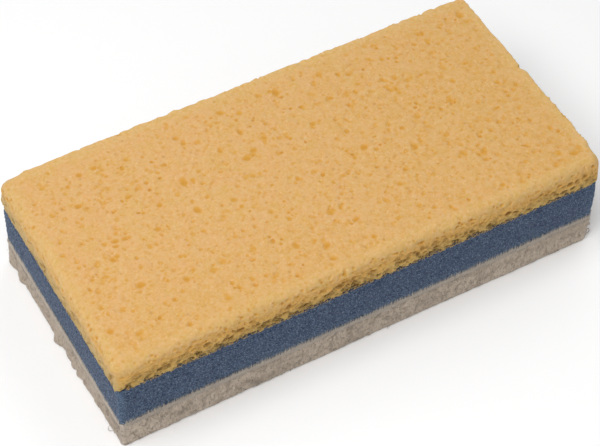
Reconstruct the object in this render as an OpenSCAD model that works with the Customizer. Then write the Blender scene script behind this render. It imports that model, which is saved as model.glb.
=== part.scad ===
// Three-layer grout wash pad: an open-pored wash sponge on top, a soft foam core in the
// middle and a fibre scrub pad underneath, held together by two thin glue films.
// Millimetres, +Z up, origin at the middle of the face that the pad rests on.
// X runs along the pad and Y across it.

/* [Outline] */
// Length of the pad along X
pad_length = 196; // [150:1:250]
// Width of the pad along Y
pad_width = 95.5; // [70:0.5:130]
// Radius of the upright corners where the layers were cut
corner_r = 1.5; // [1:0.25:3]

/* [Layers, from the bottom up] */
// Thickness of the fibre scrub pad
scrub_t = 12.5; // [6:0.5:20]
// Thickness of the soft foam core
core_t = 19; // [10:0.5:30]
// Thickness of the wash sponge
sponge_t = 12.4; // [8:0.2:20]
// Thickness of each glue film
film_t = 0.3; // [0.1:0.1:0.6]

/* [Edges] */
// Radius that rounds the top edges of the wash sponge
sponge_edge_r = 4; // [2:0.5:6]
// How far the glue films stay back from the cut sides
film_inset = 0.6; // [0.2:0.1:1.5]

/* [Hidden] */

// Height of the underside of each piece above the resting face
lower_film_z = scrub_t;
core_z = lower_film_z + film_t;
upper_film_z = core_z + core_t;
sponge_z = upper_film_z + film_t;

// Height of the upright part of the sponge's sides, below its rounded top edge
sponge_side_t = sponge_t - sponge_edge_r;

$fn = 32;

// The pad's outline, moved in by inset, with its four corners rounded to the radius r.
module outline(r, inset = 0) {
    x = pad_length / 2 - inset;
    y = pad_width / 2 - inset;
    square([2 * x, 2 * (y - r)], center = true);
    square([2 * (x - r), 2 * y], center = true);
    for (side_x = [-1, 1], side_y = [-1, 1])
        translate([side_x * (x - r), side_y * (y - r)]) circle(r = r);
}

// A slab of the pad's outline, from the height z up to z + thickness.
module slab(z, thickness, inset = 0) {
    translate([0, 0, z]) linear_extrude(thickness) outline(corner_r, inset);
}

// Fibre scrub pad: it is coarse, and the whole pad rests on it.
module scrub_pad() {
    color([0.60, 0.55, 0.50]) slab(0, scrub_t);
}

// Glue film that holds the foam core to the scrub pad.
module lower_glue_film() {
    color([0.80, 0.78, 0.70]) slab(lower_film_z, film_t, film_inset);
}

// Soft foam core: the layer that gives way when the pad is pressed.
module foam_core() {
    color([0.28, 0.33, 0.42]) slab(core_z, core_t);
}

// Glue film that holds the wash sponge to the foam core.
module upper_glue_film() {
    color([0.80, 0.78, 0.70]) slab(upper_film_z, film_t, film_inset);
}

// A half ball of the radius r that stands on its flat side.
module dome(r) {
    rotate_extrude() intersection() {
        circle(r = r);
        square(r);
    }
}

// Wash sponge: square where it is glued down, with soft round edges and corners on top.
module wash_sponge() {
    dome_x = pad_length / 2 - sponge_edge_r;
    dome_y = pad_width / 2 - sponge_edge_r;
    dome_z = sponge_z + sponge_side_t;
    color([0.88, 0.70, 0.45]) hull() {
        slab(sponge_z, sponge_side_t);
        for (side_x = [-1, 1], side_y = [-1, 1])
            translate([side_x * dome_x, side_y * dome_y, dome_z]) dome(sponge_edge_r);
    }
}

scrub_pad();
lower_glue_film();
foam_core();
upper_glue_film();
wash_sponge();
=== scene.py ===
import itertools
import math

import bpy
import numpy as np
import openvdb
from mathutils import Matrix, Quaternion, Vector


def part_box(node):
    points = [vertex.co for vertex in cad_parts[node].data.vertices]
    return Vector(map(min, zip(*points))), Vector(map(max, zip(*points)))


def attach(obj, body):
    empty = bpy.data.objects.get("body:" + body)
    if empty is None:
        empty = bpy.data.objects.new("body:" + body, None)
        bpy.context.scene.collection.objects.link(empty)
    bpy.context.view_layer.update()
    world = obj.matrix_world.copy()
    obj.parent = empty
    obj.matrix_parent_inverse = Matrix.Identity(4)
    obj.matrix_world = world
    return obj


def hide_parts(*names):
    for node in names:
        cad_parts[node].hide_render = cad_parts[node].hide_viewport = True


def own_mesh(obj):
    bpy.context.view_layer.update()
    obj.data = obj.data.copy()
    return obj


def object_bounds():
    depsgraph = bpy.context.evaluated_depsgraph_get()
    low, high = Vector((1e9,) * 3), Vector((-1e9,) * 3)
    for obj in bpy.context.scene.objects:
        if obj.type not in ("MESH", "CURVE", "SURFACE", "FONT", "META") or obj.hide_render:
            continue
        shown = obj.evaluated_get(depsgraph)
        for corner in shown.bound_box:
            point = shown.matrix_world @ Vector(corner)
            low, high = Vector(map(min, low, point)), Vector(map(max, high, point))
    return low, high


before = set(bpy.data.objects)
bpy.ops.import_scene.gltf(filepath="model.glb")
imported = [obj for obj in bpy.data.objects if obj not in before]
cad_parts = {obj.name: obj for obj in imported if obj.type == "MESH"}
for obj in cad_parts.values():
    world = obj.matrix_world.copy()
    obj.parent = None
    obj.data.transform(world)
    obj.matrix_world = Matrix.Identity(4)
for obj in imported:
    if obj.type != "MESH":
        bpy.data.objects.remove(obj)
cad_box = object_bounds()

# Shapes are worked out in millimetres and turned into metres when their mesh is made.
MM = 0.001

# Edge length of the cells that the porous solids are carved from, in millimetres.
CELL = 0.3

# Size of the random tables, in cells along X, Y and Z, before a pattern repeats.
TABLE = (131, 67, 31)

# Stands in for a length of 0 where something is divided by it.
TINY = 1e-9

# How many triangles the sponge, and each of the other two layers, is thinned out to.
SPONGE_TRIANGLES, LAYER_TRIANGLES = 380_000, 190_000


# ---- Patterns -------------------------------------------------------------------------------

def smooth_noise(points, cell, seed):
    """Smooth random values from -1 to 1 at the points. A lump is about as big as cell."""
    table = np.random.default_rng(seed).random(TABLE) * 2 - 1
    place = points / np.asarray(cell, float)
    first = np.floor(place).astype(int)
    part = place - first
    part = part * part * (3 - 2 * part)
    total = np.zeros(len(points))
    for corner in itertools.product((0, 1), repeat=3):
        weight = np.where(corner, part, 1 - part).prod(axis=1)
        total += weight * table[tuple(((first + corner) % TABLE).T)]
    return total


def bubble_depth(points, cell, radius, chance, seed, stretch=(1, 1, 1)):
    """How deep each point lies in the bubbles scattered through space, in millimetres.

    One bubble may lie in each cell, with that chance and a radius in that range; small ones
    are commoner. stretch makes the bubbles longer along an axis.
    """
    rng = np.random.default_rng(seed)
    jitter = rng.random((*TABLE, 3))
    radii = radius[0] + (radius[1] - radius[0]) * rng.random(TABLE) ** 2
    radii[rng.random(TABLE) > chance] = 0
    place = points / np.asarray(stretch, float) / cell
    first = np.floor(place).astype(int)
    depth = np.zeros(len(points))
    for shift in itertools.product((-1, 0, 1), repeat=3):
        found = first + shift
        index = tuple((found % TABLE).T)
        r = radii[index]
        away = ((place - found - jitter[index]) ** 2).sum(axis=1) * cell ** 2
        share = np.clip(1 - away / np.maximum(r, TINY) ** 2, 0, 1)
        depth = np.maximum(depth, r * share ** 2)
    return depth


def where_seen(weight, values_at):
    """values_at for the points whose weight isn't 0, and 0 for the others."""
    found = np.zeros(len(weight))
    seen = weight > 0
    found[seen] = values_at(seen)
    return found


def ramp(value, start, end):
    """0 up to start, 1 from end on, and smooth between them; start may be above end."""
    t = np.clip((value - start) / (end - start), 0, 1)
    return t * t * (3 - 2 * t)


# ---- Slabs ----------------------------------------------------------------------------------

def film_thickness():
    """How thick the glue films are, in millimetres."""
    low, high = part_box("lower_glue_film")
    return (high.z - low.z) / MM


FILM = film_thickness()


def box_mm(node):
    """A CAD node's lowest and highest corner, in millimetres."""
    low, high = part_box(node)
    return np.array(low) / MM, np.array(high) / MM


def middle_and_half(low, high):
    """The middle of a box's outline, and half its length and width."""
    return (high + low)[:2] / 2, (high - low)[:2] / 2


def lattice_faces(ids):
    """The quads of one side of a lattice, from the vertex numbers at its crossings."""
    corners = [ids[:-1, :-1], ids[1:, :-1], ids[1:, 1:], ids[:-1, 1:]]
    return np.stack(corners, axis=-1).reshape(-1, 4)


def box_lattice(low, high, step):
    """Points and quads of a closed box whose sides are lattices of squares of about step."""
    counts = np.maximum(np.round((high - low) / step).astype(int), 1)
    outside = np.ones(counts + 1, bool)
    outside[1:-1, 1:-1, 1:-1] = False
    ids = np.full(counts + 1, -1)
    ids[outside] = np.arange(outside.sum())
    points = low + np.argwhere(outside) / counts * (high - low)
    faces = [
        lattice_faces(ids[:, :, -1]), lattice_faces(ids[:, :, 0])[:, ::-1],
        lattice_faces(ids[-1]), lattice_faces(ids[0])[:, ::-1],
        lattice_faces(ids[:, 0]), lattice_faces(ids[:, -1])[:, ::-1],
    ]
    return points, np.concatenate(faces)


def round_edges(points, low, high, top_r, bottom_r, corner_r):
    """Rounds the box from low to high: its top and bottom edges and its upright corners."""
    middle, half = middle_and_half(low, high)
    flat = points[:, :2] - middle
    z = points[:, 2].copy()
    inset = (half - np.abs(flat)).min(axis=1)
    moved = inset.copy()
    for r, edge_z, inward in ((top_r, high[2], -1), (bottom_r, low[2], 1)):
        depth = (points[:, 2] - edge_z) * inward
        near = (inset < r) & (depth < r)
        arm = np.stack([r - inset[near], r - depth[near]], axis=1)
        arm *= r / np.linalg.norm(arm, axis=1, keepdims=True)
        moved[near] = r - arm[:, 0]
        z[near] = edge_z + inward * (r - arm[:, 1])
    ring = half - moved[:, None]
    flat = flat * ring / np.maximum(half - inset[:, None], TINY)
    r = np.maximum(corner_r - moved, 0)[:, None]
    centre = np.clip(flat, r - ring, ring - r)
    arm = flat - centre
    length = np.linalg.norm(arm, axis=1, keepdims=True)
    arm *= np.abs(arm).max(axis=1, keepdims=True) / np.maximum(length, TINY)
    return np.column_stack([centre + arm + middle, z])


def make_mesh(name, points, faces, values=None):
    """A smooth-shaded object from points in millimetres and lists of vertex numbers.

    values holds the numbers for each point that its material reads, under their names.
    """
    mesh = bpy.data.meshes.new(name)
    mesh.from_pydata((points * MM).tolist(), [], faces)
    mesh.polygons.foreach_set("use_smooth", np.ones(len(faces), bool))
    for key, value in (values or {}).items():
        layer = mesh.attributes.new(key, "FLOAT", "POINT")
        layer.data.foreach_set("value", value.astype(np.float32))
    piece = bpy.data.objects.new(name, mesh)
    bpy.context.scene.collection.objects.link(piece)
    return piece


def outline_of(points, low, high):
    """The level outward direction at each point, and how far it is in from the outline.

    The direction turns smoothly on the way round each corner.
    """
    middle, half = middle_and_half(low, high)
    flat = points[:, :2] - middle
    inset = (half - np.abs(flat)).min(axis=1)
    turning = 4  # how far before a corner the direction starts to turn
    arm = flat - np.clip(flat, turning - half, half - turning)
    length = np.linalg.norm(arm, axis=1, keepdims=True)
    return np.column_stack([arm / np.maximum(length, TINY), np.zeros(len(points))]), inset


def corner_share(points, low, high):
    """1 along the four upright corners, fading to 0 a few millimetres from them."""
    middle, half = middle_and_half(low, high)
    to_corner = np.linalg.norm(half - np.abs(points[:, :2] - middle), axis=1)
    return ramp(to_corner, 3.5, 0.5)


def normals_of(points, faces):
    """The outward direction at each point of a closed mesh."""
    corners = points[faces]
    face_normal = np.cross(corners[:, 2] - corners[:, 0], corners[:, 3] - corners[:, 1])
    total = np.stack([
        np.bincount(faces.ravel(), np.repeat(face_normal[:, axis], 4), len(points))
        for axis in range(3)
    ], axis=1)
    return total / np.linalg.norm(total, axis=1, keepdims=True)


def thin_out(piece, triangles):
    """Merges the mesh's least needed edges until it has that many triangles."""
    now = 2 * len(piece.data.polygons)  # they are all quads
    modifier = piece.modifiers.new("thin_out", "DECIMATE")
    modifier.ratio = triangles / now
    graph = bpy.context.evaluated_depsgraph_get()
    mesh = bpy.data.meshes.new_from_object(
        piece.evaluated_get(graph), preserve_all_data_layers=True, depsgraph=graph)
    piece.modifiers.remove(modifier)
    piece.data = mesh


# ---- Solids made of small cells -------------------------------------------------------------

def cell_places(low, high, margin):
    """The lowest corner of a grid of cells around a box, and its places along X, Y and Z."""
    origin = low - margin
    counts = np.ceil((high - low + 2 * margin) / CELL).astype(int) + 1
    places = [start + np.arange(count) * CELL for start, count in zip(origin, counts)]
    return origin, np.ix_(*places)


def slab_distance(x, y, z, low, high, edge_r, corner_r):
    """Distance out from a slab with rounded top edges and corners, below 0 inside it."""
    middle, half = (high + low) / 2, (high - low) / 2
    over_x = np.abs(x - middle[0]) - half[0] + corner_r
    over_y = np.abs(y - middle[1]) - half[1] + corner_r
    beside = np.hypot(np.maximum(over_x, 0), np.maximum(over_y, 0))
    beside = beside + np.minimum(np.maximum(over_x, over_y), 0) - corner_r + edge_r
    above = z - high[2] + edge_r
    rounded = np.hypot(np.maximum(beside, 0), np.maximum(above, 0))
    return np.maximum(rounded + np.minimum(np.maximum(beside, above), 0) - edge_r, low[2] - z)


def carve(field, origin, centres, radii):
    """Cuts a rounded hollow out of the solid at each centre; radii are along X, Y and Z."""
    for centre, radius in zip((centres - origin) / CELL, radii / CELL):
        first = np.maximum(np.floor(centre - radius - 1), 0).astype(int)
        last = np.minimum(np.ceil(centre + radius + 2), field.shape).astype(int)
        if (last <= first).any():
            continue
        ends = list(zip(first, last))
        steps = [(np.arange(*pair) - c) / r for pair, c, r in zip(ends, centre, radius)]
        x, y, z = np.ix_(*steps)
        hollow = (1 - np.sqrt(x * x + y * y + z * z)) * (radius.min() * CELL)
        part = field[tuple(slice(*pair) for pair in ends)]
        np.maximum(part, hollow, out=part)


def connected(start, allowed):
    """The allowed cells that can be reached from the start cells through other allowed cells."""
    found = start & allowed
    while True:
        grown = found.copy()
        for axis in range(3):
            here, there = np.moveaxis(grown, axis, 0), np.moveaxis(found, axis, 0)
            here[1:] |= there[:-1]
            here[:-1] |= there[1:]
        grown &= allowed
        if grown.sum() == found.sum():
            return found
        found = grown


def skin_of(field, origin, deep):
    """Points and quads of the solid's surface, without loose crumbs or closed-off hollows."""
    solid = field < 0
    body = connected(deep, solid)
    field[solid & ~body] = CELL / 2  # crumbs become air
    air = ~body
    outside = connected(field > CELL * 1.2, air)
    field[air & ~outside] = -CELL / 2  # closed-off hollows are filled
    grid = openvdb.FloatGrid(2 * CELL)
    grid.copyFromArray(field)
    points, faces = grid.convertToQuads(0.0)
    return points * CELL + origin, faces


# ---- Wash sponge ----------------------------------------------------------------------------

# Hollows in the sponge's top: how many, the range of their openings' radii in millimetres, and
# the range of their depths in radii.
SKIN_PITS = (
    (420, (0.8, 1.75), (0.15, 0.35)),
    (2500, (0.4, 0.85), (0.25, 0.6)),
    (4000, (0.22, 0.4), (0.4, 0.8)),
    (260, (0.25, 0.5), (0.9, 1.3)),
)

# How far outside the side the centres of open cells and of notches lie, as ranges in radii.
OPEN_CELLS, NOTCHES = (-0.15, 0.55), (-0.8, 0)

# Hollows in the cut sides: how many, the ranges of their radii and of their heights above the
# lower edge in millimetres, the share of them that the short sides keep, and where they lie.
SIDE_PORES = (
    (600, (0.75, 1.35), (1.0, 7.5), 0.2, OPEN_CELLS),
    (4500, (0.35, 0.75), (0.3, 9), 0.3, OPEN_CELLS),
    (12000, (0.22, 0.42), (0, 10), 0.5, OPEN_CELLS),
    (650, (0.5, 1.3), (0, 0.7), 0.7, NOTCHES),
    (500, (0.28, 0.5), (0, 0.8), 1.0, NOTCHES),
    (3000, (0.3, 0.8), (10.2, 13.2), 1.0, OPEN_CELLS),
)


def near_sides(x, y, low):
    """1 close to the front and the left side, whose top edges are worn round, fading to 0."""
    return np.maximum(ramp(y, low[1] + 12, low[1] + 6), ramp(x, low[0] + 12, low[0] + 6))


def edge_radius(near):
    """Radius of the sponge's top edge, from how near the worn sides are."""
    return 1.4 + 2.6 * near


def sponge_distance(x, y, z, low, high):
    """Distance out from the sponge before its pores are cut, below 0 inside it.

    The upright corners get rounder towards the top, and most at the worn sides.
    """
    up = ramp(z, low[2] + 1, high[2] - 1)
    near = near_sides(x, y, low)
    corner_r = 2.5 + up * (0.6 + near)
    return slab_distance(x, y, z, low, high, edge_radius(near), corner_r)


def top_drop(flat, inset, low):
    """How far the rounded top edge lies below the flat top at each place."""
    r = edge_radius(near_sides(flat[:, 0], flat[:, 1], low))
    over = np.clip(r - inset, 0, r)
    return r - np.sqrt(r ** 2 - over ** 2)


def skin_pits(rng, low, high, number, opening, depth_share):
    """Shallow hollows in the top: centres above it, so that their walls stay gentle.

    Those close to the pad's outline are smaller and shallower, and some stand in groups.
    """
    size = opening[0] + (opening[1] - opening[0]) * rng.random(number) ** 1.8
    half_deep = 0.87  # the opening of a ball sunk by half its radius, in radii
    radius = size[:, None] * rng.uniform((1, 1, 1), (1.6, 1.6, 1), (number, 3)) / half_deep
    depth = rng.uniform(*depth_share, number) * radius[:, 2]
    flat = rng.uniform(low[:2], high[:2], (number, 2))
    grouped = rng.random(number) < 0.35
    flat[grouped] = (rng.permutation(flat) + rng.normal(0, 1.2, (number, 2)))[grouped]
    inset = (high[:2] - np.abs(flat)).min(axis=1)  # the pad is centred on the origin
    by_outline = ramp(inset, 7, 3)
    radius = radius * (1 - 0.35 * ramp(size, 0.4, 0.9) * by_outline)[:, None]
    depth = depth * (1 - 0.5 * by_outline)
    height = high[2] - top_drop(flat, inset, low) + radius[:, 2] - depth
    return np.column_stack([flat, height]), radius


def side_pores(rng, low, high, number, size, heights, ends, out):
    """Hollows in the cut sides, longer along the side than they are high.

    ends is the share of them that the short sides keep. out is how far outside the side their
    centres lie, as a range in radii.
    """
    flat, outward = round_the_pad(rng.random(number), low, high)
    keep = (outward[:, 0] == 0) | (rng.random(number) < ends)
    flat, outward = flat[keep], outward[keep]
    number = len(flat)
    r = size[0] + (size[1] - size[0]) * rng.random(number) ** 1.6
    up = heights[0] + (heights[1] - heights[0]) * rng.random(number) ** 1.4
    along = np.abs(outward[:, ::-1])
    radius = np.empty((number, 3))
    radius[:, :2] = r[:, None] * (1 + along * rng.uniform(0, 0.45, (number, 1)))
    radius[:, 2] = r * rng.uniform(0.75, 1.05, number)
    flat = flat + outward * r[:, None] * rng.uniform(*out, (number, 1))
    return np.column_stack([flat, low[2] + up]), radius


def past_outline(points, low, high):
    """How far outside the core's outline each point lies, in millimetres, or 0."""
    middle, half = middle_and_half(low, high)
    return np.maximum(np.abs(points[:, :2] - middle) - half, 0).max(axis=1)


def carved_sponge(box_low, box_high, low, high):
    """Points and quads of the sponge, with its pits and open cells cut out.

    It fills low to high, apart from the room that the foam core takes up.
    """
    origin, places = cell_places(low, high, margin=1.6)
    field = sponge_distance(*places, low, high)
    core_top = np.array([*box_high[:2], box_low[2]])
    core = slab_distance(
        *places, box_low - (0, 0, 9), core_top, edge_r=0.01, corner_r=1.5)
    field = np.maximum(field, -core).astype(np.float32)
    deep = field < -4.0  # deeper than any hollow reaches
    rng = np.random.default_rng(7)
    for pits in SKIN_PITS:
        carve(field, origin, *skin_pits(rng, low, high, *pits))
    for pores in SIDE_PORES:
        carve(field, origin, *side_pores(rng, low, high, *pores))
    return skin_of(field, origin, deep)


def soften_sponge(points, faces, box_low, box_high, low):
    """Makes the sponge's surface uneven, apart from the face on the core, and frays its lip."""
    wobble = np.column_stack([smooth_noise(points, 2.1, seed) for seed in (1, 2, 3)])
    normals = normals_of(points, faces)
    soft = 0.15 * smooth_noise(points, 9, 31) + 0.04 * smooth_noise(points, 2.2, 32)
    above_core = ramp(points[:, 2], box_low[2] + 0.1, box_low[2] + 1)
    free = np.maximum(above_core, ramp(past_outline(points, box_low, box_high), 0, 0.3))
    points = points + (0.3 * wobble + normals * soft[:, None]) * free[:, None]
    lip = ramp(past_outline(points, box_low, box_high), 0.1, 0.4)
    lip = lip * ramp(points[:, 2], low[2] + 2, low[2] + 0.4)
    points[:, 2] += 0.4 * smooth_noise(points * (1, 1, 0), 3, 33) * lip
    return points


def make_wash_sponge():
    """The yellow layer: shallow pits in its top, open cells in its sides, a ragged lower edge."""
    box_low, box_high = box_mm("wash_sponge")
    # It is cut a little wider than the core, so that its lower edge hangs over the core's.
    low, high = box_low - (0.6, 0.6, 0.5), box_high + (0.6, 0.6, 0.3)
    points, faces = carved_sponge(box_low, box_high, low, high)
    depth = -sponge_distance(*points.T, low, high)
    points = soften_sponge(points, faces, box_low, box_high, low)
    outward, inset = outline_of(points, low, high)
    height = points[:, 2] - low[2]
    on_side = ramp(inset, 4.5, 2) * ramp(height, 11.5, 7)
    long_side = ramp(np.abs(outward[:, 1]), 0.5, 0.9)
    # Painted shade: the top is darkened towards its right end, less so at the back, and towards
    # its front.
    right_shade = ramp(points[:, 0], low[0] + 60, high[0])
    right_shade = right_shade * (1 - 0.4 * ramp(points[:, 1], 0, high[1]))
    front_shade = 0.8 * ramp(points[:, 1], low[1] + 40, low[1])
    piece = make_mesh("wash_sponge_foam", points, faces.tolist(), {
        "pore": np.clip(depth / 1.5, 0, 1),
        "cut": on_side,
        "low": on_side * ramp(height, 8, 1.5),
        # Where the material paints a highlight along the top's edges.
        "rim_highlight": ramp(inset, 7, 1.5) * (1 - on_side),
        # Where the material paints shade on the short sides.
        "end": on_side * (1 - long_side),
        "painted_shade": np.maximum(right_shade, front_shade),
    })
    thin_out(piece, SPONGE_TRIANGLES)
    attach(piece, "wash_layer")
    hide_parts("wash_sponge")
    return piece


# ---- Joint between the foam core and the scrub pad ------------------------------------------

def joint_wave(points):
    """How far the joint between core and scrub pad wanders up or down, in millimetres."""
    level = points * (1, 1, 0)
    return 0.15 * smooth_noise(level, 5, 71) + 0.22 * smooth_noise(level, 1.1, 72)


# ---- Foam core ------------------------------------------------------------------------------

def make_foam_core():
    """The blue layer: fine cells in its sides, which stay back from the sponge's lower edge."""
    low, high = box_mm("foam_core")
    points, faces = box_lattice(low, high, 0.45)
    points = round_edges(points, low, high, top_r=0.3, bottom_r=0.1, corner_r=1.1)
    outward, inset = outline_of(points, low, high)
    on_side = ramp(inset, 0.6, 0.1)
    cells = where_seen(on_side, lambda seen: bubble_depth(
        points[seen], cell=1.15, radius=(0.4, 0.95), chance=0.95, seed=51))
    soft = 0.25 * smooth_noise(points, 14, 52) + 0.12 * smooth_noise(points, 1.0, 53)
    under_sponge = ramp(points[:, 2], high[2] - 3.2, high[2] - 2)
    shift = (soft + 0.15 - 0.5 * cells) * (1 - under_sponge) - 0.12 * under_sponge
    points = points + outward * (on_side * shift)[:, None]
    meets_pad = ramp(points[:, 2], low[2] + 1.2, low[2]) * ramp(inset, 0.6, 0.3)
    points[:, 2] += meets_pad * (joint_wave(points) - FILM)
    piece = make_mesh("foam_core_block", points, faces.tolist(), {
        "pore": np.clip(cells / 0.6, 0, 1),
        "corner": corner_share(points, low, high),
        "low": ramp(points[:, 2], low[2] + 5, low[2]),
    })
    thin_out(piece, LAYER_TRIANGLES)
    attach(piece, "scrub_base")
    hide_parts("foam_core")
    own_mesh(piece)
    return piece


# ---- Scrub pad ------------------------------------------------------------------------------

def pad_swell(points, low, high):
    """How far the scrub pad's sides bulge past their outline, most at the lower right."""
    left = ramp(points[:, 0], low[0] + 20, low[0])
    right, lower = ramp(points[:, 0], 0, high[0]), ramp(points[:, 2], high[2], low[2] + 3)
    return 0.1 + 0.25 * left + 0.7 * right * lower + 0.2 * smooth_noise(points, 9, 61)


def torn_lumps(points, low, high):
    """How far torn lumps stand out, most on the left end from behind its front corner."""
    bumps = np.abs(smooth_noise(points, (4.5, 4.5, 18), 65)) * ramp(points[:, 2], high[2], low[2])
    strength = np.maximum(smooth_noise(points, (20, 20, 40), 66) + 0.6, 0)
    left_end = ramp(points[:, 0], low[0] + 6, low[0])
    behind_corner = ramp(points[:, 1], low[1] + 4, low[1] + 22)
    return 2.3 * bumps * np.minimum(strength, 0.9) * (0.15 + 0.85 * left_end * behind_corner)


def make_scrub_pad():
    """The grey layer: pitted upright fibres, a lumpy left end, a right end ragged in front."""
    low, high = box_mm("scrub_pad")
    points, faces = box_lattice(low, high, 0.5)
    points = round_edges(points, low, high, top_r=0.1, bottom_r=0.4, corner_r=1.1)
    normals = normals_of(points, faces)
    outward, inset = outline_of(points, low, high)
    swell = pad_swell(points, low, high)
    not_on_top = 1 - ramp(normals[:, 2], 0.3, 0.8)
    grain = 0.2 * smooth_noise(points, (1.1, 1.1, 2.6), 62)
    grain = grain + 0.1 * smooth_noise(points, (0.7, 0.7, 1.2), 63)
    pores = where_seen(not_on_top, lambda seen: bubble_depth(
        points[seen], cell=1.6, radius=(0.4, 0.95), chance=0.85, seed=64,
        stretch=(0.8, 0.8, 1.9)))
    less_below = 0.4 + 0.6 * ramp(points[:, 2], low[2], low[2] + 2)
    shift = (grain - 0.32 * pores) * not_on_top * less_below
    points = points + normals * shift[:, None]
    ragged = ramp(outward[:, 0], 0.3, 0.8) * ramp(points[:, 1], low[1] + 30, low[1] + 12)
    pulled = 1.3 * smooth_noise(points, (3, 3, 3.5), 67)
    pulled = pulled - 0.9 * ramp(points[:, 2], high[2] - 2, low[2] + 5)
    off = (swell + torn_lumps(points, low, high)) * (1 - ragged) + np.minimum(pulled, 0.6) * ragged
    points = points + outward * (off * ramp(inset, 2, 0))[:, None]
    meets_core = ramp(points[:, 2], high[2] - 1.2, high[2]) * ramp(inset, 0.6, 0.3)
    points[:, 2] += meets_core * joint_wave(points)
    points[:, 2] = np.maximum(points[:, 2], low[2])
    piece = make_mesh("scrub_pad_fleece", points, faces.tolist(), {
        "pore": np.clip(pores / 0.7, 0, 1),
        "corner": corner_share(points, low, high),
        "high": ramp(points[:, 2], high[2] - 3, high[2]),
        # Where the material paints shade on the ends.
        "end": ramp(np.abs(outward[:, 0]), 0.3, 0.8),
    })
    thin_out(piece, LAYER_TRIANGLES)
    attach(piece, "scrub_base")
    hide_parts("scrub_pad")
    return piece


# ---- Fibres ---------------------------------------------------------------------------------

# Pulled loops, from the bottom up: height above the resting face, how far the curl reaches out,
# half its height, and how far behind the front it hangs, in millimetres.
LOOPS = ((2.4, 2.1, 1.1, 0.8), (6.2, 1.9, 0.35, 1.0), (9.3, 1.6, 0.5, 1.2))


def make_strands(name, lines, radius):
    """Thin three-sided threads along lines of points, an array of threads x points x 3.

    radius is one number, or one for each thread.
    """
    threads, count = lines.shape[:2]
    along = np.gradient(lines, axis=1)
    along /= np.linalg.norm(along, axis=2, keepdims=True)
    any_way = np.array([0.31, 0.53, 0.79])
    first = np.cross(along, any_way)
    first /= np.linalg.norm(first, axis=2, keepdims=True)
    second = np.cross(along, first)
    taper = np.sin(np.linspace(0.35, math.pi - 0.25, count))
    thin = taper * np.broadcast_to(radius, threads)[:, None]
    rings = [
        lines + (first * math.cos(angle) + second * math.sin(angle)) * thin[:, :, None]
        for angle in (0, 2 * math.pi / 3, 4 * math.pi / 3)
    ]
    points = np.stack(rings, axis=2).reshape(-1, 3)
    ids = np.arange(len(points)).reshape(threads, count, 3)
    walls = []
    for side, beside in ((0, 1), (1, 2), (2, 0)):
        here, there = ids[:, :, side], ids[:, :, beside]
        walls.append(np.stack([here[:, :-1], there[:, :-1], there[:, 1:], here[:, 1:]], axis=-1))
    caps = [ids[:, 0, ::-1], ids[:, -1]]
    faces = np.concatenate(walls).reshape(-1, 4).tolist() + np.concatenate(caps).tolist()
    return make_mesh(name, points, faces)


def round_the_pad(share, low, high, clear=0.0):
    """Points on the pad's outline and their outward directions, from shares of the way round.

    clear is how far they stay from the outline's corners, in millimetres.
    """
    length, width = high[0] - low[0], high[1] - low[1]
    way = share * 2 * (length + width)
    stops = np.array([0, length, length + width, 2 * length + width, 2 * (length + width)])
    x = np.interp(way, stops, [low[0], high[0], high[0], low[0], low[0]])
    y = np.interp(way, stops, [low[1], low[1], high[1], high[1], low[1]])
    side = np.searchsorted(stops, way, side="right") - 1
    outward = np.array([(0, -1), (1, 0), (0, 1), (-1, 0), (0, -1)])[side]
    middle, half = middle_and_half(low, high)
    flat = np.column_stack([x, y]) - middle
    return middle + flat * np.where(outward == 0, 1 - clear / half, 1), outward


def lines_from(flat, outward, off, side, height):
    """Lines that start from places on the pad's outline.

    off, side and height say how far outward, how far along the side and how high each of their
    points lies, as arrays of threads x points.
    """
    along = np.column_stack([-outward[:, 1], outward[:, 0]])
    level = flat[:, None] + outward[:, None] * off[:, :, None] + along[:, None] * side[:, :, None]
    return np.concatenate([level, height[:, :, None]], axis=2)


def make_joint_fuzz():
    """Short pale hairs that stand up from the scrub pad over the lowest edge of the core."""
    low, high = box_mm("scrub_pad")
    rng = np.random.default_rng(81)
    number = 20000
    share = (np.arange(number) + rng.random(number)) / number
    flat, outward = round_the_pad(share, low, high, clear=1)
    t = np.linspace(0, 1, 3)
    lean = rng.normal(0.1, 0.25, number)[:, None] * t
    thick = rng.random(number) < 0.1
    root = 1.2  # how far below the joint the hairs start
    rise = (root + 2.4 * rng.random(number) ** 2.2 + 0.7 * thick)[:, None] * t - root
    off = 0.5 + 0.12 * np.sin(t * math.pi) - 0.2 * t + rng.uniform(-0.1, 0.15, number)[:, None]
    lines = lines_from(flat, outward, off, lean, high[2] + rise)
    piece = make_strands("joint_fuzz", lines, np.where(thick, 0.1, 0.045))
    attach(piece, "scrub_base")
    return piece


def make_side_fuzz():
    """Loose fibres that lie on the scrub pad's sides, most of them upright."""
    low, high = box_mm("scrub_pad")
    rng = np.random.default_rng(82)
    number = 2200
    flat, outward = round_the_pad(rng.random(number), low, high, clear=0.7)
    t = np.linspace(-1, 1, 9)
    tilt = rng.normal(0, 0.7, number)
    reach = rng.uniform(0.8, 2.4, number)
    curl = rng.normal(0, 0.5, number)[:, None] * t ** 2
    swell = 0.35 + 0.5 * ramp(flat[:, 0], 0, high[0])
    ragged = (outward[:, 0] > 0) & (flat[:, 1] < low[1] + 12)
    stray = rng.random(number) < np.where(ragged, 0.8, 0.04)
    bow = np.where(stray, rng.uniform(0.6, 1.9, number) + 0.8 * ragged, 0.3)[:, None]
    off = swell[:, None] + bow * (1 - t ** 2) - 0.3 - 0.9 * ragged[:, None]
    off = off + rng.uniform(0, 0.2, number)[:, None]
    side = (reach * np.sin(tilt))[:, None] * t + curl
    centre = rng.uniform(low[2] + 0.5, high[2] - 0.5, number)
    room = np.minimum(centre - low[2] - 0.2, high[2] + 0.6 - centre)
    half_height = np.minimum(reach * np.cos(tilt), room)
    lines = lines_from(flat, outward, off, side, centre[:, None] + half_height[:, None] * t)
    piece = make_strands("side_fuzz", lines, np.where(stray, 0.13, 0.1))
    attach(piece, "scrub_base")
    return piece


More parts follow.
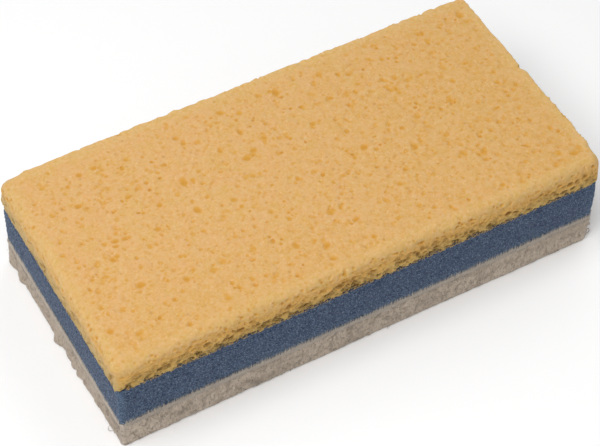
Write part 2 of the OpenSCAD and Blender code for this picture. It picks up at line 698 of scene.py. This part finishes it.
def make_pulled_loops():
    """Curls of thread that hang out of the scrub pad at its front right corner."""
    low, high = box_mm("scrub_pad")
    angle = np.linspace(-0.85 * math.pi, 0.85 * math.pi, 16)
    curls = []
    for height, reach, half_height, back in LOOPS:
        x = high[0] - 0.9 + reach * (1 + np.cos(angle)) / 2
        y = low[1] + back + 0.3 * np.sin(2 * angle)
        curls.append(np.column_stack([x, y, height + half_height * np.sin(angle)]))
    piece = make_strands("pulled_loops", np.array(curls), 0.23)
    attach(piece, "scrub_base")
    return piece


def make_sponge_fray():
    """Torn cell walls: short threads across the sponge's cut sides and over its lower edge."""
    low, high = box_mm("wash_sponge")
    rng = np.random.default_rng(83)
    number = 7000
    flat, outward = round_the_pad(rng.random(number), low, high, clear=3)
    t = np.linspace(-1, 1, 4)
    at_joint = rng.random(number) < 0.05
    height = np.where(at_joint, rng.uniform(-0.3, 0.6, number), 7 * rng.random(number) ** 1.5)
    across, any_way = rng.normal(math.pi / 2, 0.5, number), rng.uniform(0, math.pi, number)
    turn = np.where(at_joint, across, any_way)
    reach = rng.uniform(0.25, 0.7, number)
    off = 0.3 + 0.12 * (1 - t ** 2) + rng.uniform(-0.1, 0.15, number)[:, None]
    side = (reach * np.cos(turn))[:, None] * t
    rise = low[2] + height[:, None] + (reach * np.sin(turn))[:, None] * t
    piece = make_strands("sponge_fray", lines_from(flat, outward, off, side, rise), 0.09)
    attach(piece, "wash_layer")
    return piece


# ---- Materials ------------------------------------------------------------------------------

def add_node(tree, kind, inputs=None, **settings):
    """A new node with its settings, and each input set to a value or linked to a socket."""
    made = tree.nodes.new(kind)
    for key, value in settings.items():
        setattr(made, key, value)
    for key, value in (inputs or {}).items():
        if isinstance(value, bpy.types.NodeSocket):
            tree.links.new(value, made.inputs[key])
        else:
            made.inputs[key].default_value = value
    return made


def new_material(name, **surface):
    """A material with those values on its Principled shader, and its tree and shader."""
    material = bpy.data.materials.new(name)
    material.use_nodes = True
    tree = material.node_tree
    shader = tree.nodes["Principled BSDF"]
    for key, value in surface.items():
        shader.inputs[key.replace("_", " ")].default_value = value
    return material, tree, shader


def scaled_space(tree, size, stretch):
    """The object's own space, measured in steps of size millimetres times the stretch."""
    where = add_node(tree, "ShaderNodeTexCoord").outputs["Object"]
    scaled = add_node(tree, "ShaderNodeMapping", {
        "Vector": where, "Scale": [1 / (size * MM * s) for s in stretch]})
    return scaled.outputs["Vector"]


def pattern(tree, size, stretch=(1, 1, 1), detail=2.0, roughness=0.5):
    """Noise from 0 to 1 in the object's own space, with lumps of that size in millimetres."""
    noise = add_node(tree, "ShaderNodeTexNoise", {
        "Vector": scaled_space(tree, size, stretch),
        "Scale": 1.0, "Detail": detail, "Roughness": roughness})
    return noise.outputs["Fac"]


def dots(tree, spacing, radius, stretch=(1, 1, 1)):
    """1 at the middle of dots scattered about spacing apart, and 0 beyond their radius."""
    cells = add_node(tree, "ShaderNodeTexVoronoi", {
        "Vector": scaled_space(tree, spacing, stretch), "Scale": 1.0})
    return remap(tree, cells.outputs["Distance"], radius / spacing, 0.0)


def remap(tree, value, old_low, old_high, new_low=0.0, new_high=1.0):
    """value, moved from the old range to the new one and kept in it."""
    node = add_node(tree, "ShaderNodeMapRange", {
        "Value": value, "From Min": old_low, "From Max": old_high,
        "To Min": new_low, "To Max": new_high})
    return node.outputs["Result"]


def mix(tree, share, first, second):
    """The first colour, with that share of the second mixed in."""
    node = tree.nodes.new("ShaderNodeMix")
    node.data_type = "RGBA"
    sockets = (node.inputs[0], node.inputs[6], node.inputs[7])
    for socket, value in zip(sockets, (share, first, second)):
        if isinstance(value, bpy.types.NodeSocket):
            tree.links.new(value, socket)
        elif isinstance(value, tuple):
            socket.default_value = (*value, 1.0)
        else:
            socket.default_value = value
    return node.outputs[2]


def attribute(tree, name):
    """A number that the mesh holds at each point."""
    return add_node(tree, "ShaderNodeAttribute", attribute_name=name).outputs["Fac"]


def times(tree, first, second):
    """The product of two numbers."""
    return add_node(tree, "ShaderNodeMath", {0: first, 1: second}, operation="MULTIPLY").outputs[0]


def tint(tree, base, where, share, colour):
    """base, with that share of the colour mixed in where the number is 1."""
    return mix(tree, times(tree, where, share), base, colour)


def bump(tree, shader, height, distance):
    """Raises the surface by up to distance, in millimetres, where height is 1."""
    node = add_node(tree, "ShaderNodeBump", {
        "Height": height, "Distance": distance * MM, "Strength": 1.0})
    tree.links.new(node.outputs["Normal"], shader.inputs["Normal"])


def sponge_skin_colour(tree, fine):
    """The sponge's top: blotched tan, with painted shade towards its right end and its front, a
    painted highlight along its edges, and painted shade in its pits, orange and in the deepest
    brown.
    """
    broad = remap(tree, pattern(tree, 6), 0.35, 0.65)
    skin = mix(tree, broad, (0.655, 0.37, 0.145), (0.62, 0.372, 0.11))
    # Painted shade: the top darkens towards its right end and its front.
    skin = tint(tree, skin, attribute(tree, "painted_shade"), 0.8, (0.585, 0.335, 0.08))
    # Painted highlight: a paler band along the top's edges.
    rim_grain = remap(tree, pattern(tree, 1.3, detail=3), 0.35, 0.65)
    rim_highlight = mix(tree, rim_grain, (0.57, 0.39, 0.11), (0.70, 0.50, 0.20))
    skin = tint(tree, skin, attribute(tree, "rim_highlight"), 0.7, rim_highlight)
    blotch = remap(tree, pattern(tree, 2.6), 0.38, 0.62)
    skin = tint(tree, skin, blotch, 0.6, (0.665, 0.42, 0.185))
    skin = tint(tree, skin, dots(tree, 2.4, 1.1), 0.6, (0.62, 0.33, 0.06))
    dark = mix(tree, 0.32, skin, (0.60, 0.31, 0.06))
    light = mix(tree, 0.36, skin, (0.69, 0.46, 0.25))
    skin = mix(tree, fine, dark, light)
    # Painted shade in the pits: orange, and brown in the deepest.
    pit_shade = remap(tree, attribute(tree, "pore"), 0.03, 0.28, 0.0, 0.9)
    skin = mix(tree, pit_shade, skin, (0.605, 0.30, 0.04))
    deep_pit_shade = remap(tree, attribute(tree, "pore"), 0.25, 0.5, 0.0, 0.65)
    return mix(tree, deep_pit_shade, skin, (0.45, 0.20, 0.03))


def sponge_cut_colour(tree, fine):
    """The sponge's cut sides: warm yellow, greener low down, with painted shade that greys the
    short sides and darkens the open cells.
    """
    cut = mix(tree, fine, (0.63, 0.355, 0.085), (0.75, 0.44, 0.125))
    warm = remap(tree, pattern(tree, 1.7), 0.5, 0.7, 0.0, 0.6)
    cut = mix(tree, warm, cut, (0.50, 0.26, 0.06))
    cut = tint(tree, cut, attribute(tree, "low"), 0.6, (0.445, 0.33, 0.112))
    # Painted shade: the short sides are darker and greyer than the long ones.
    cut = tint(tree, cut, attribute(tree, "end"), 0.5, (0.46, 0.335, 0.16))
    pore = remap(tree, attribute(tree, "pore"), 0.14, 0.55)
    strength = remap(tree, attribute(tree, "low"), 0.0, 1.0, 0.6, 1.0)
    shade = mix(tree, attribute(tree, "low"), (0.42, 0.20, 0.04), (0.20, 0.12, 0.025))
    return tint(tree, cut, pore, strength, shade)


def wash_foam_material():
    """The sponge: one colour for its skin and one for its cut sides, with painted glints and dark
    specks over both.
    """
    material, tree, shader = new_material(
        "wash_foam", Roughness=0.9, Specular_IOR_Level=0.2, Sheen_Weight=0.1,
        Subsurface_Weight=0.3, Subsurface_Radius=(1.0, 0.6, 0.3), Subsurface_Scale=2 * MM)
    fine = remap(tree, pattern(tree, 0.9, detail=3, roughness=0.7), 0.35, 0.65)
    skin, cut = sponge_skin_colour(tree, fine), sponge_cut_colour(tree, fine)
    colour = mix(tree, attribute(tree, "cut"), skin, cut)
    # Painted glints: small pale flecks over the skin and the cut sides.
    colour = tint(tree, colour, dots(tree, 1.7, 0.4), 0.5, (0.80, 0.58, 0.32))
    colour = tint(tree, colour, dots(tree, 6, 0.9), 0.5, (0.42, 0.20, 0.05))
    tree.links.new(colour, shader.inputs["Base Color"])
    bump(tree, shader, pattern(tree, 0.7, detail=4, roughness=0.6), distance=0.08)
    return material


def core_foam_material():
    """The core: slate blue with dark and pale speckle, paler at its corners and low down, with
    painted shade in its cells.
    """
    material, tree, shader = new_material(
        "core_foam", Roughness=0.92, Specular_IOR_Level=0.2, Sheen_Weight=0.1)
    base = mix(tree, pattern(tree, 9), (0.039, 0.076, 0.170), (0.033, 0.068, 0.166))
    base = tint(tree, base, attribute(tree, "corner"), 0.8, (0.10, 0.18, 0.31))
    base = tint(tree, base, attribute(tree, "low"), 0.8, (0.13, 0.20, 0.295))
    grain = remap(tree, pattern(tree, 0.5, roughness=0.7), 0.36, 0.64)
    dark = mix(tree, 0.88, base, (0.006, 0.015, 0.045))
    light = mix(tree, 0.34, base, (0.20, 0.27, 0.37))
    base = mix(tree, grain, dark, light)
    # Painted shade in the cells.
    base = tint(tree, base, attribute(tree, "pore"), 0.3, (0.03, 0.045, 0.085))
    base = tint(tree, base, dots(tree, 0.85, 0.38), 0.9, (0.21, 0.295, 0.39))
    base = tint(tree, base, dots(tree, 1.3, 0.34), 0.9, (0.28, 0.35, 0.45))
    tree.links.new(base, shader.inputs["Base Color"])
    bump(tree, shader, pattern(tree, 0.5, detail=3, roughness=0.6), distance=0.5)
    return material


def scrub_fibre_material():
    """The scrub pad: warm light grey with upright streaks, and painted shade on its ends, in its
    pits and in short dark marks that stand for small pits.
    """
    material, tree, shader = new_material(
        "scrub_fibre", Roughness=0.9, Specular_IOR_Level=0.2, Sheen_Weight=0.1)
    base = mix(tree, pattern(tree, 8), (0.60, 0.50, 0.395), (0.565, 0.47, 0.38))
    # Painted shade: the pad's ends are darker than its long sides.
    base = tint(tree, base, attribute(tree, "end"), 0.8, (0.45, 0.365, 0.285))
    base = tint(tree, base, attribute(tree, "corner"), 0.4, (0.60, 0.52, 0.44))
    base = tint(tree, base, attribute(tree, "high"), 0.5, (0.62, 0.54, 0.47))
    streak = remap(tree, pattern(tree, 0.65, (0.8, 0.8, 2.0), detail=3), 0.37, 0.63)
    dark = mix(tree, 0.28, base, (0.22, 0.18, 0.14))
    light = mix(tree, 0.12, base, (0.75, 0.66, 0.56))
    base = mix(tree, streak, dark, light)
    # Painted shade: short dark marks that stand for small pits.
    base = mix(tree, dots(tree, 1.0, 0.42, (1, 1, 1.7)), base, (0.20, 0.16, 0.125))
    # Painted shade in the pits.
    base = tint(tree, base, attribute(tree, "pore"), 0.35, (0.19, 0.155, 0.12))
    tree.links.new(base, shader.inputs["Base Color"])
    bump(tree, shader, pattern(tree, 0.7, (0.7, 0.7, 2.0), detail=3, roughness=0.6), distance=0.25)
    return material


def thread_material(name, light, dark):
    """Threads whose colour wanders between the light and the dark one."""
    material, tree, shader = new_material(
        name, Roughness=0.8, Specular_IOR_Level=0.3, Sheen_Weight=0.1)
    base = mix(tree, pattern(tree, 2.0), light, dark)
    tree.links.new(base, shader.inputs["Base Color"])
    bump(tree, shader, pattern(tree, 0.3), distance=0.03)
    return material


def glue_material():
    """Dried glue: brown, with faint lumps."""
    material, tree, shader = new_material("glue", Roughness=0.6, Specular_IOR_Level=0.35)
    base = mix(tree, pattern(tree, 3, detail=3), (0.34, 0.28, 0.19), (0.22, 0.18, 0.12))
    tree.links.new(base, shader.inputs["Base Color"])
    bump(tree, shader, pattern(tree, 1.2, detail=3), distance=0.1)
    return material


def paint(piece, material):
    """Gives the piece that one material."""
    piece.data.materials.clear()
    piece.data.materials.append(material)


# ---- Stage ----------------------------------------------------------------------------------

def make_floor():
    """A wide pale floor just under the pad."""
    half_size, gap = 6.0, 0.2 * MM
    z = cad_box[0].z - gap
    signs = ((-1, -1), (1, -1), (1, 1), (-1, 1))
    mesh = bpy.data.meshes.new("floor")
    mesh.from_pydata([(x * half_size, y * half_size, z) for x, y in signs], [], [(0, 1, 2, 3)])
    floor = bpy.data.objects.new("floor", mesh)
    bpy.context.scene.collection.objects.link(floor)
    material, _, shader = new_material("floor", Roughness=0.8, Specular_IOR_Level=0.1)
    shader.inputs["Base Color"].default_value = (0.93, 0.93, 0.93, 1)
    paint(floor, material)


def stand_back(holder, target, azimuth, elevation, distance, roll=0.0):
    """Links a light or camera into the scene, that far from the target and looking at it.

    Azimuth 0 is the front and 90 the right. Angles are in degrees and distances in metres.
    """
    a, e = math.radians(azimuth), math.radians(elevation)
    back = Vector((math.sin(a) * math.cos(e), -math.cos(a) * math.cos(e), math.sin(e)))
    holder.location = target + back * distance
    holder.rotation_mode = "QUATERNION"
    turn = Quaternion((0, 0, 1), math.radians(roll))
    holder.rotation_quaternion = (-back).to_track_quat("-Z", "Y") @ turn
    bpy.context.scene.collection.objects.link(holder)


def make_light(name, azimuth, elevation, distance, size, power):
    """A square softbox that looks at the object from that direction."""
    data = bpy.data.lights.new(name, "AREA")
    data.size, data.energy = size, power
    stand_back(bpy.data.objects.new(name, data), Vector(), azimuth, elevation, distance)


def make_world(strength):
    """Even white light from all around."""
    world = bpy.data.worlds.new("studio")
    world.use_nodes = True
    background = world.node_tree.nodes["Background"]
    background.inputs["Color"].default_value = (1, 1, 1, 1)
    background.inputs["Strength"].default_value = strength
    bpy.context.scene.world = world


def make_camera():
    """A long lens that looks down on the pad from its front left."""
    middle = (cad_box[0] + cad_box[1]) / 2
    aim = middle + Vector((-3.7, -5.4, 0)) * MM
    data = bpy.data.cameras.new("camera")
    data.lens, data.sensor_width = 120.16, 36
    camera = bpy.data.objects.new("camera", data)
    stand_back(camera, aim, azimuth=-30.25, elevation=50.32, distance=735.5 * MM, roll=1.12)
    bpy.context.scene.camera = camera


sponge = make_wash_sponge()
core = make_foam_core()
pad = make_scrub_pad()
paint(sponge, wash_foam_material())
paint(core, core_foam_material())
paint(pad, scrub_fibre_material())
pale_threads = thread_material("pale_threads", (0.72, 0.64, 0.56), (0.58, 0.51, 0.44))
paint(make_joint_fuzz(), pale_threads)
grey_threads = thread_material("grey_threads", (0.55, 0.47, 0.39), (0.36, 0.30, 0.24))
paint(make_side_fuzz(), grey_threads)
paint(make_pulled_loops(), grey_threads)
sponge_threads = thread_material("sponge_threads", (0.68, 0.47, 0.17), (0.50, 0.32, 0.09))
paint(make_sponge_fray(), sponge_threads)
glue = glue_material()
for name in ("upper_glue_film", "lower_glue_film"):
    paint(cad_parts[name], glue)

make_floor()
make_world(0.33)
make_light("key", azimuth=-69, elevation=66, distance=1.0, size=0.75, power=8.4)
make_light("back", azimuth=120, elevation=45, distance=1.8, size=1.5, power=7)
make_camera()
bpy.context.scene.view_settings.view_transform = "Standard"
